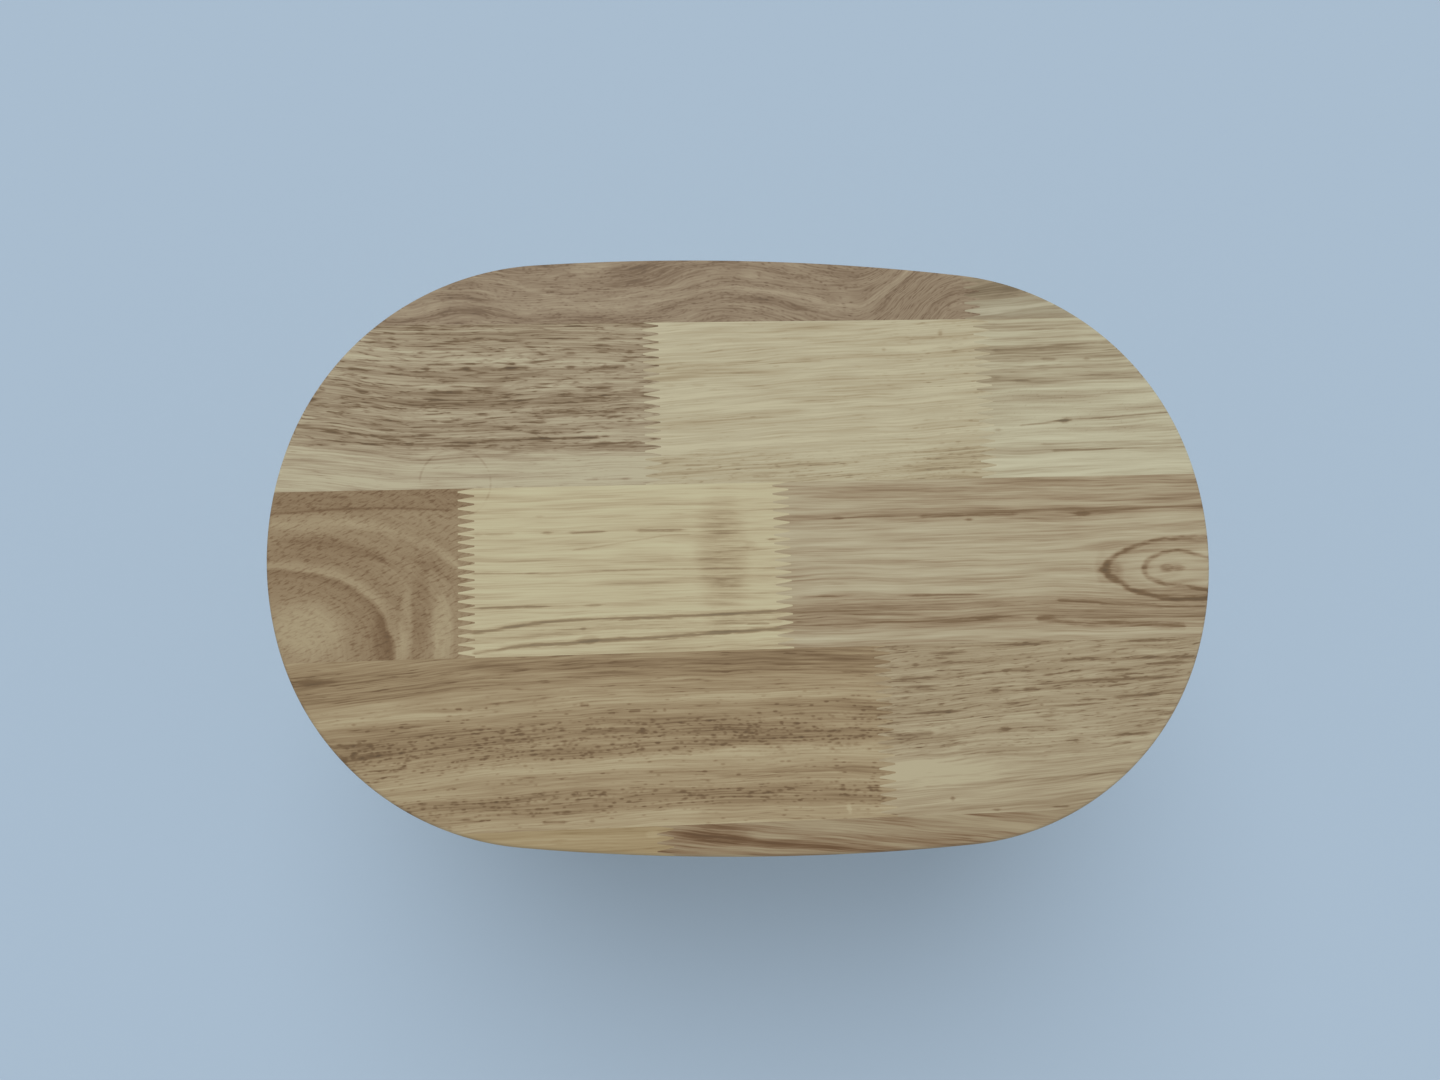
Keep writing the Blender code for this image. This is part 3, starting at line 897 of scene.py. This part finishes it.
def grain_3_right():
    """Tan wood with two brown bands and a knot that opens to the right-hand end."""
    wood = Wood("rubberwood_3_right", drift=0.8, seed=33)
    knot_u, knot_v = 157, -10.7
    side = wood.v - knot_v
    near_knot = fade(wood.u, 105, 150)
    wood.flow(side * fade(abs(side), 34, 8) * near_knot * 0.12)
    wood.bands(((-42, 0.5), (-34.5, 0.6), (-32.5, 0.15), (-30.5, 0.5), (-27, 0.82), (-23, 0.7),
                (-20, 0.55), (-16, 0.34), (4, 0.32), (9, 0.5), (11, 0.8), (13, 0.52), (17, 0.44),
                (21, 0.6), (26, 0.46)), 0.22, 0.24)
    wood.dashes(18, 0.6, 0.35, 0.28)
    wood.dashes(7, 0.6, 0.4, 0.3, fade(abs(wood.ring + 24), 8, 4), 4)
    wood.row(10.6, ((28, 36), (60, 100)), 0.9, 0.4)
    wood.row(9, ((78, 83),), 0.7, 0.6)
    wood.row(10.2, ((117, 128),), 1.5, 0.5)
    wood.row(-18, ((14, 40), (48, 90)), 0.7, 0.45, -0.012)
    wood.row(-26.8, ((72, 100),), 1.2, 0.4)
    wood.trail(((102, -27.5), (118, -29.5), (135, -30.4), (160, -32)), 1.6, 0.5)
    wood.trail(((110, -21), (130, -23), (146, -24.2), (168, -25)), 0.8, 0.4)
    bow = (wood.u - knot_u).worked("MINIMUM", 0)
    droop = (wood.u - (knot_u + 1)).worked("MAXIMUM", 0) * 0.2
    outer_ring, inner_ring = (27, 11.3, 1.65, 0.19, 0.6), (13, 6.5, 1.8, 0.3, 0.5)
    for reach, half, power, width, depth in (outer_ring, inner_ring):
        sag = droop if half == inner_ring[1] else 0
        height = abs(side + sag)
        away = abs(bow * (1 / reach)) ** power + abs(height * (1 / half)) ** power
        away = away + mottle(wood.board, (7, 7, 7), 2, 8, width * 0.3)
        wood.add(fade(abs(away - 1), width, 0), depth)
        wood.add(fade(away, 1, 0.8) * fade(away, 0.2, 0.95), 0.22)
    wood.patch((129, -10.4), (2.6, 6), 0.2, 0.9)
    wood.patch((133, -11.5), (3.4, 5), 0.2, 0.9)
    wood.patch((153, -10.6), (2.4, 1.5), 0.36, 0.9)
    wood.patch((157.5, -10.6), (2.6, 1), 0.3, 0.9)
    wood.patch((154, -10.6), (5, 3.2), 0.14)
    return wood.finished(((182, 173, 145), (170, 158, 130), (151, 133, 106), (119, 97, 70)))


# %% Fourth stave
def grain_4_left():
    """Brown wood whose bands arch gently, with two belts of dotted vessels."""
    wood = Wood("rubberwood_4_left", drift=1.0, seed=41)
    away = wood.u + 15
    wood.flow(away * away * -0.00036)
    wood.bands(((-100, 0.2), (-91, 0.22), (-88.5, 0.5), (-84, 0.6), (-80, 0.45), (-77.5, 0.55),
                (-75, 0.2), (-72, 0.24), (-69, 0.5), (-64, 0.62), (-59, 0.62), (-55, 0.5),
                (-51, 0.22), (-47, 0.45), (-43, 0.62), (-39, 0.72), (-33, 0.6)), 0.24, 0.24)
    belt = fade(abs(wood.ring + 65), 9, 5)
    front_belt = fade(abs(wood.ring + 85.5), 5, 2.5)
    for seed, length, width in ((6, 2.3, 1.05), (7, 1.5, 0.75)):
        wood.dots(length, width, 0.8, 0.34, belt, seed)
        wood.dots(length, width, 0.55, 0.3, front_belt, seed + 3)
    wood.dots(1.8, 0.7, 0.2, 0.4, fade(wood.ring, -45, -52), 12)
    wood.dashes(8, 0.8, 0.5, 0.42, None, 5)
    wood.row(-53.4, ((-105, -102), (-95, -93), (-62, -58)), 0.8, 0.6)
    wood.row(-56, ((-45, -40), (-33, -31)), 0.8, 0.5)
    wood.row(-63, ((-42, -38),), 1.9, 0.6)
    wood.row(-42.5, ((-164, -142),), 1.8, 0.4)
    wood.row(-77.6, ((-85, -75), (-40, 0)), 0.6, 0.35)
    wood.trail(((-20, -78.8), (30, -79.8)), 0.5, -0.35)
    wood.row(-93.2, ((-76, -66), (-60, -56)), 0.9, 0.6)
    wood.row(-91.2, ((-105, -97),), 0.8, 0.5)
    wood.row(-85.5, ((28, 32), (38, 44)), 1.0, 0.5)
    wood.row(-92.5, ((30.5, 33.5),), 2.4, -0.5, -0.6)
    return wood.finished(((175, 162, 130), (161, 144, 113), (144, 124, 94), (114, 92, 65)))


def grain_4_right():
    """Tan wood with dark dashes that rise to the right, and a pale corner at the front."""
    wood = Wood("rubberwood_4_right", drift=1.2, seed=42)
    wood.flow(wood.u * 0.06 - 3)
    wood.bands(((-110, 0.4), (-92, 0.36), (-84, 0.3), (-78, 0.32), (-70, 0.42), (-60, 0.45),
                (-45, 0.45), (-38, 0.55), (-28, 0.5)), 0.26, 0.26)
    rear = fade(wood.v, -82, -70)
    wood.dashes(8, 0.8, 0.62, 0.55, rear)
    wood.dashes(4, 0.65, 0.6, 0.5, rear, 4)
    for v, spans, width, depth, rise in (
        (-39, ((60, 80),), 1.2, 0.5, 0.03),
        (-36.8, ((85, 110), (130, 164)), 0.8, 0.5, 0),
        (-43, ((56, 60), (110, 162)), 0.9, 0.45, 0),
        (-45.6, ((85, 105), (140, 162)), 1.0, 0.45, 0.02),
        (-47.4, ((45, 70), (122, 142)), 0.9, 0.45, 0.01),
        (-50.6, ((50, 70), (96, 160)), 1.1, 0.5, 0.01),
        (-53, ((83, 90), (95, 104)), 1.0, 0.5, 0),
        (-56.8, ((115, 124), (128, 150)), 0.9, 0.45, 0.04),
        (-59.5, ((50, 80), (104, 130)), 1.0, 0.5, 0.02),
        (-57.5, ((85, 100),), 0.8, 0.4, 0.05),
        (-62.5, ((98, 112),), 0.9, 0.5, 0.08),
        (-67, ((45, 65), (86, 93)), 1.1, 0.55, 0.02),
        (-70.6, ((107, 120), (126, 146)), 0.9, 0.5, 0.06),
        (-94.8, ((45, 50), (82, 87), (104, 112)), 0.6, 0.45, 0.01),
    ):
        wood.row(v, spans, width * 1.15, depth * 1.2, rise)
    wood.trail(((58, -86), (100, -84.6), (140, -83)), 0.6, 0.4)
    wood.row(-90.3, ((67.6, 70.4),), 1.2, 0.7)
    wood.patch((62, -82), (24, 4.5), -0.3, 0.8)
    return wood.finished(((178, 168, 138), (164, 150, 122), (148, 131, 103), (121, 101, 75)))


# %% Front stave
def grain_5_left():
    """A plain yellow-tan sliver."""
    wood = Wood("rubberwood_5_left", drift=1.0, seed=51)
    wood.bands(((-112, 0.5), (-102, 0.4), (-97, 0.5), (-94, 0.6)), 0.3, 0.26)
    wood.dashes(12, 0.8, 0.5, 0.55)
    wood.patch((-37, -98.5), (2.4, 1.2), -0.4, 0.9)
    return wood.finished(((169, 153, 119), (161, 143, 108), (152, 133, 98), (136, 115, 80)))


def grain_5_right():
    """A brown sliver with dark lines that fall to the right."""
    wood = Wood("rubberwood_5_right", drift=0.8, seed=52)
    wood.flow((wood.u + 33) * -0.12)
    wood.bands(((-112, 0.5), (-104, 0.4), (-98, 0.7), (-90, 0.35), (-80, 0.3)), 0.34, 0.3)
    wood.dashes(14, 0.8, 0.45, 0.4)
    wood.patch((-18, -100), (14, 4), 0.3, 0.8)
    return wood.finished(((163, 149, 120), (152, 136, 108), (134, 112, 85), (106, 80, 54)))


# %% Painting the blocks
GRAINS = {
    "1_left": grain_1_left,
    "1_right": grain_1_right,
    "2_left": grain_2_left,
    "2_middle": grain_2_middle,
    "2_right": grain_2_right,
    "3_left": grain_3_left,
    "3_middle": grain_3_middle,
    "3_right": grain_3_right,
    "4_left": grain_4_left,
    "4_right": grain_4_right,
    "5_left": grain_5_left,
    "5_right": grain_5_right,
}
for label, grain in GRAINS.items():
    finish = grain()
    blocks[label].data.materials.append(finish)
    print(finish.name, len(finish.node_tree.nodes), "nodes")

# %% [markdown]
# ## The seal ring
#
# A soft silicone ring sits in the groove of the lid's plug. Its foot fills the groove and its
# rounded lip reaches towards the wall, where it holds the lid steady and keeps crumbs in.

# %% The seal ring
wall_inset = 5.5 * MILLIMETRE
sheet = 0.8 * MILLIMETRE


def seal_ring():
    """The ring's section, carried round the oval."""
    half = groove_half - seat_gap
    root = plug_inset + groove_depth - seat_gap
    lip = wall_inset + sheet / 2 + seat_gap
    nose = 0.35 * MILLIMETRE
    section = [(root, seal_middle - half), (root, seal_middle + half)]
    section += [(plug_inset, seal_middle + half)]
    section += bend(lip + nose, seal_middle, nose, QUARTER * 0.7, -QUARTER * 1.4, 6)
    section += [(plug_inset, seal_middle - half)]
    return sweep(section, closed=True)


def silicone():
    """Milky silicone: soft, slightly see-through and a little dusty."""
    finish, shader, place = new_finish("silicone")
    cloud = mottle(place, (0.012, 0.012, 0.012), 3)
    dust = mottle(place, (0.0004, 0.0004, 0.0004), 1, 4)
    milk = ladder(cloud + dust * 0.4, ((-1, (196, 199, 197)), (1, (214, 215, 212))))
    plug(shader.inputs["Base Color"], milk)
    plug(shader.inputs["Roughness"], dust * 0.06 + 0.42)
    shader.inputs["Subsurface Weight"].default_value = 0.3
    shader.inputs["Subsurface Scale"].default_value = 1 * MILLIMETRE
    shader.inputs["IOR"].default_value = 1.41
    return finish


seal = settle("seal_ring", seal_ring(), "lid", ["lid_seal"])
seal.data.materials.append(silicone())
print("seal ring:", len(seal.data.polygons), "faces")

# %% [markdown]
# ## The sheet steel bin
#
# The wall is one strip of sheet steel, bent to the oval and welded at the back. Its top edge
# is curled outwards into a bead, which leaves no sharp edge and holds the shape. Its bottom
# edge is folded inwards round the skirt of the pressed pan. Both pieces are open surfaces
# that Solidify makes as thick as the sheet. The row of ventilation holes is drilled through
# the back of the wall with a Boolean. The section has a corner close above and below the
# holes, which keeps the faces that the drill splits small, so the wall shades evenly.

# %% The wall
floor_clearance = 2 * MILLIMETRE
curl_radius = 1.8 * MILLIMETRE
curl_turn = math.radians(270)
hem_height = 4 * MILLIMETRE
hem_radius = sheet + seat_gap
hem_centre = floor_clearance + sheet / 2 + hem_radius
hem_top = hem_centre + hem_height
vent_height = wall_top - 32 * MILLIMETRE
vent_margin = 5 * MILLIMETRE
CURL_STEPS = 18
HEM_STEPS = 10


def wall_section():
    """The wall's section, from the end of the curl down to the edge of the hem."""
    curl_inset = wall_inset - curl_radius
    curl_height = wall_top - sheet / 2 - curl_radius
    section = bend(curl_inset, curl_height, curl_radius, math.pi - curl_turn, curl_turn, CURL_STEPS)
    for rise in (vent_margin, -vent_margin):
        section.append((wall_inset, vent_height + rise))
    section += bend(wall_inset + hem_radius, hem_centre, hem_radius, 0, -math.pi, HEM_STEPS)
    return section + [(wall_inset + 2 * hem_radius, hem_top)]


def as_sheet(piece):
    """Give an open surface the thickness of the sheet steel."""
    skin = piece.modifiers.new("sheet", "SOLIDIFY")
    skin.thickness = sheet
    skin.offset = 0
    skin.use_even_offset = True


def apply_modifiers(piece):
    """Replace a piece's mesh by what its modifiers make of it."""
    ready = piece.evaluated_get(bpy.context.evaluated_depsgraph_get())
    plain = piece.data
    piece.data = bpy.data.meshes.new_from_object(ready)
    piece.modifiers.clear()
    bpy.data.meshes.remove(plain)


# %% The ventilation holes
vent_radius = 2.5 * MILLIMETRE
vent_pitch = 15 * MILLIMETRE
VENT_COUNT = 7
VENT_SIDES = 32


def vent_drill():
    """The row of drills, run through the back of the wall."""
    bm = bmesh.new()
    for hole in range(VENT_COUNT):
        along = (hole - (VENT_COUNT - 1) / 2) * vent_pitch
        place = Matrix.Translation((along, half_width - wall_inset, vent_height))
        bmesh.ops.create_cone(
            bm, cap_ends=True, segments=VENT_SIDES, radius1=vent_radius, radius2=vent_radius,
            depth=10 * sheet, matrix=place @ Matrix.Rotation(QUARTER, 4, "X")
        )
    mesh = bpy.data.meshes.new("vent_drill")
    bm.to_mesh(mesh)
    bm.free()
    drill = bpy.data.objects.new("vent_drill", mesh)
    bpy.context.scene.collection.objects.link(drill)
    return drill


wall = settle("wall", sweep(wall_section()), "bin", ["bin_wall"])
as_sheet(wall)
drill = vent_drill()
vents = wall.modifiers.new("vents", "BOOLEAN")
vents.operation = "DIFFERENCE"
vents.object = drill
apply_modifiers(wall)
bpy.data.objects.remove(drill, do_unlink=True)
wall.data.set_sharp_from_angle(angle=math.radians(40))
print("wall:", len(wall.data.polygons), "faces")

# %% The pan
pan_corner = 2 * MILLIMETRE
pan_land = 16 * MILLIMETRE
pan_press = 3 * MILLIMETRE
press_run = 4 * MILLIMETRE
pan_top = hem_top + pan_corner
PAN_STEPS = 6


def pan_section():
    """The pan's section: skirt, corner, land and the step down to its floor."""
    skirt = wall_inset + hem_radius
    land = skirt + pan_corner + pan_land
    section = [(skirt, hem_centre)]
    section += bend(skirt + pan_corner, hem_top, pan_corner, 0, QUARTER, PAN_STEPS)
    for step in range(PAN_STEPS + 1):
        share = step / PAN_STEPS
        drop = pan_press * (1 - math.cos(math.pi * share)) / 2
        section.append((land + press_run * share, pan_top - drop))
    return section


def pan_form():
    """The pan with its flat floor filled in."""
    bm = sweep(pan_section())
    rims = [edge for edge in bm.edges if edge.is_boundary]
    inner = [edge for edge in rims if edge.verts[0].co.z > hem_centre + sheet]
    bmesh.ops.edgeloop_fill(bm, edges=inner)
    bmesh.ops.recalc_face_normals(bm, faces=bm.faces)
    return bm


pan = settle("pan", pan_form(), "bin", ["base_pan"])
as_sheet(pan)
apply_modifiers(pan)
pan.data.set_sharp_from_angle(angle=math.radians(40))
print("pan:", len(pan.data.polygons), "faces")

# %% [markdown]
# ## Powder coat
#
# Powder paint melts into a skin with a faint orange-peel relief and a dull sheen. Two clouds
# of noise make the relief, a coarse one for the peel and a fine one for the grain of the
# powder. The weld at the back is ground flat, but a faint line still telegraphs through.

# %% Powder coat
weld_place = 85 * MILLIMETRE


def powder_coat(name, weld_at=None):
    """Cream paint with orange peel and, where asked, the trace of the weld."""
    finish, shader, place = new_finish(name)
    peel = mottle(place, (0.0016, 0.0016, 0.0016), 1)
    powder = mottle(place, (0.0003, 0.0003, 0.0003), 1, 2)
    cloud = mottle(place, (0.06, 0.06, 0.06), 2, 3)
    tone = cloud * 0.5 + powder * 0.35
    cream = ladder(tone, ((-1, (221, 216, 203)), (1, (231, 226, 215))))
    plug(shader.inputs["Base Color"], cream)
    plug(shader.inputs["Roughness"], powder * 0.05 + cloud * 0.02 + 0.48)
    shader.inputs["Specular IOR Level"].default_value = 0.4
    relief = peel * 0.2 + powder * 0.06
    if weld_at is not None:
        parts = finish.node_tree.nodes.new("ShaderNodeSeparateXYZ")
        finish.node_tree.links.new(place, parts.inputs["Vector"])
        x, y = Field(parts.outputs["X"]), Field(parts.outputs["Y"])
        behind = fade(y, 0, half_width / 2)
        line = fade(abs(x - weld_at), 2 * MILLIMETRE, 0.5 * MILLIMETRE)
        relief = relief + line * behind * 1.5
    emboss(shader, relief, 0.7, 0.05)
    return finish


wall_coat = powder_coat("powder_coat_wall", weld_place)
pan_coat = powder_coat("powder_coat_pan")
for piece, finish in ((wall, wall_coat), (pan, pan_coat)):
    piece.data.materials.clear()
    piece.data.materials.append(finish)
    print(finish.name, len(finish.node_tree.nodes), "nodes")

# %% [markdown]
# ## Rubber feet
#
# Four turned feet are glued under the pan. A spun profile with a rounded tread and a shallow
# dimple in its middle makes each one.

# %% Rubber feet
FOOT_PROFILE_STEPS = 6
FOOT_TURN_STEPS = 48
foot_round = 1.2 * MILLIMETRE
dimple_depth = 0.4 * MILLIMETRE


def foot_form(node):
    """One foot, spun at the middle of its node."""
    low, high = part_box(node)
    middle = (low + high) / 2
    outer = (high.x - low.x) / 2
    tread = outer - 1.5 * MILLIMETRE
    dimple = tread / 2
    profile = [(0, high.z), (outer, high.z)]
    for step in range(FOOT_PROFILE_STEPS + 1):
        angle = QUARTER * step / FOOT_PROFILE_STEPS
        across = tread - foot_round + foot_round * math.cos(angle)
        profile.append((across, foot_round - foot_round * math.sin(angle)))
    profile += [(dimple, 0), (dimple * 0.85, dimple_depth), (0, dimple_depth)]
    bm = bmesh.new()
    line = wire(bm, [(middle.x + across, middle.y, height) for across, height in profile])
    bmesh.ops.spin(
        bm, geom=line, cent=(middle.x, middle.y, 0), axis=(0, 0, 1), angle=2 * math.pi,
        steps=FOOT_TURN_STEPS, use_merge=True
    )
    bmesh.ops.remove_doubles(bm, verts=bm.verts, dist=MERGE_DISTANCE)
    bmesh.ops.recalc_face_normals(bm, faces=bm.faces)
    return bm


def rubber():
    """Dark matt rubber with a fine moulded grain."""
    finish, shader, place = new_finish("rubber")
    grain = mottle(place, (0.0005, 0.0005, 0.0005), 2)
    cloud = mottle(place, (0.006, 0.006, 0.006), 2, 2)
    black = ladder(cloud + grain * 0.5, ((-1.4, (44, 44, 46)), (1.4, (64, 64, 66))))
    plug(shader.inputs["Base Color"], black)
    plug(shader.inputs["Roughness"], grain * 0.04 + 0.78)
    emboss(shader, grain * 0.2, 0.5, 0.05)
    return finish


rubber_finish = rubber()
for node in ("foot_front_left", "foot_front_right", "foot_back_left", "foot_back_right"):
    foot = settle(node.replace("foot", "rubber_foot"), foot_form(node), "bin", [node])
    foot.data.materials.append(rubber_finish)
    print(foot.name, len(foot.data.polygons), "faces")
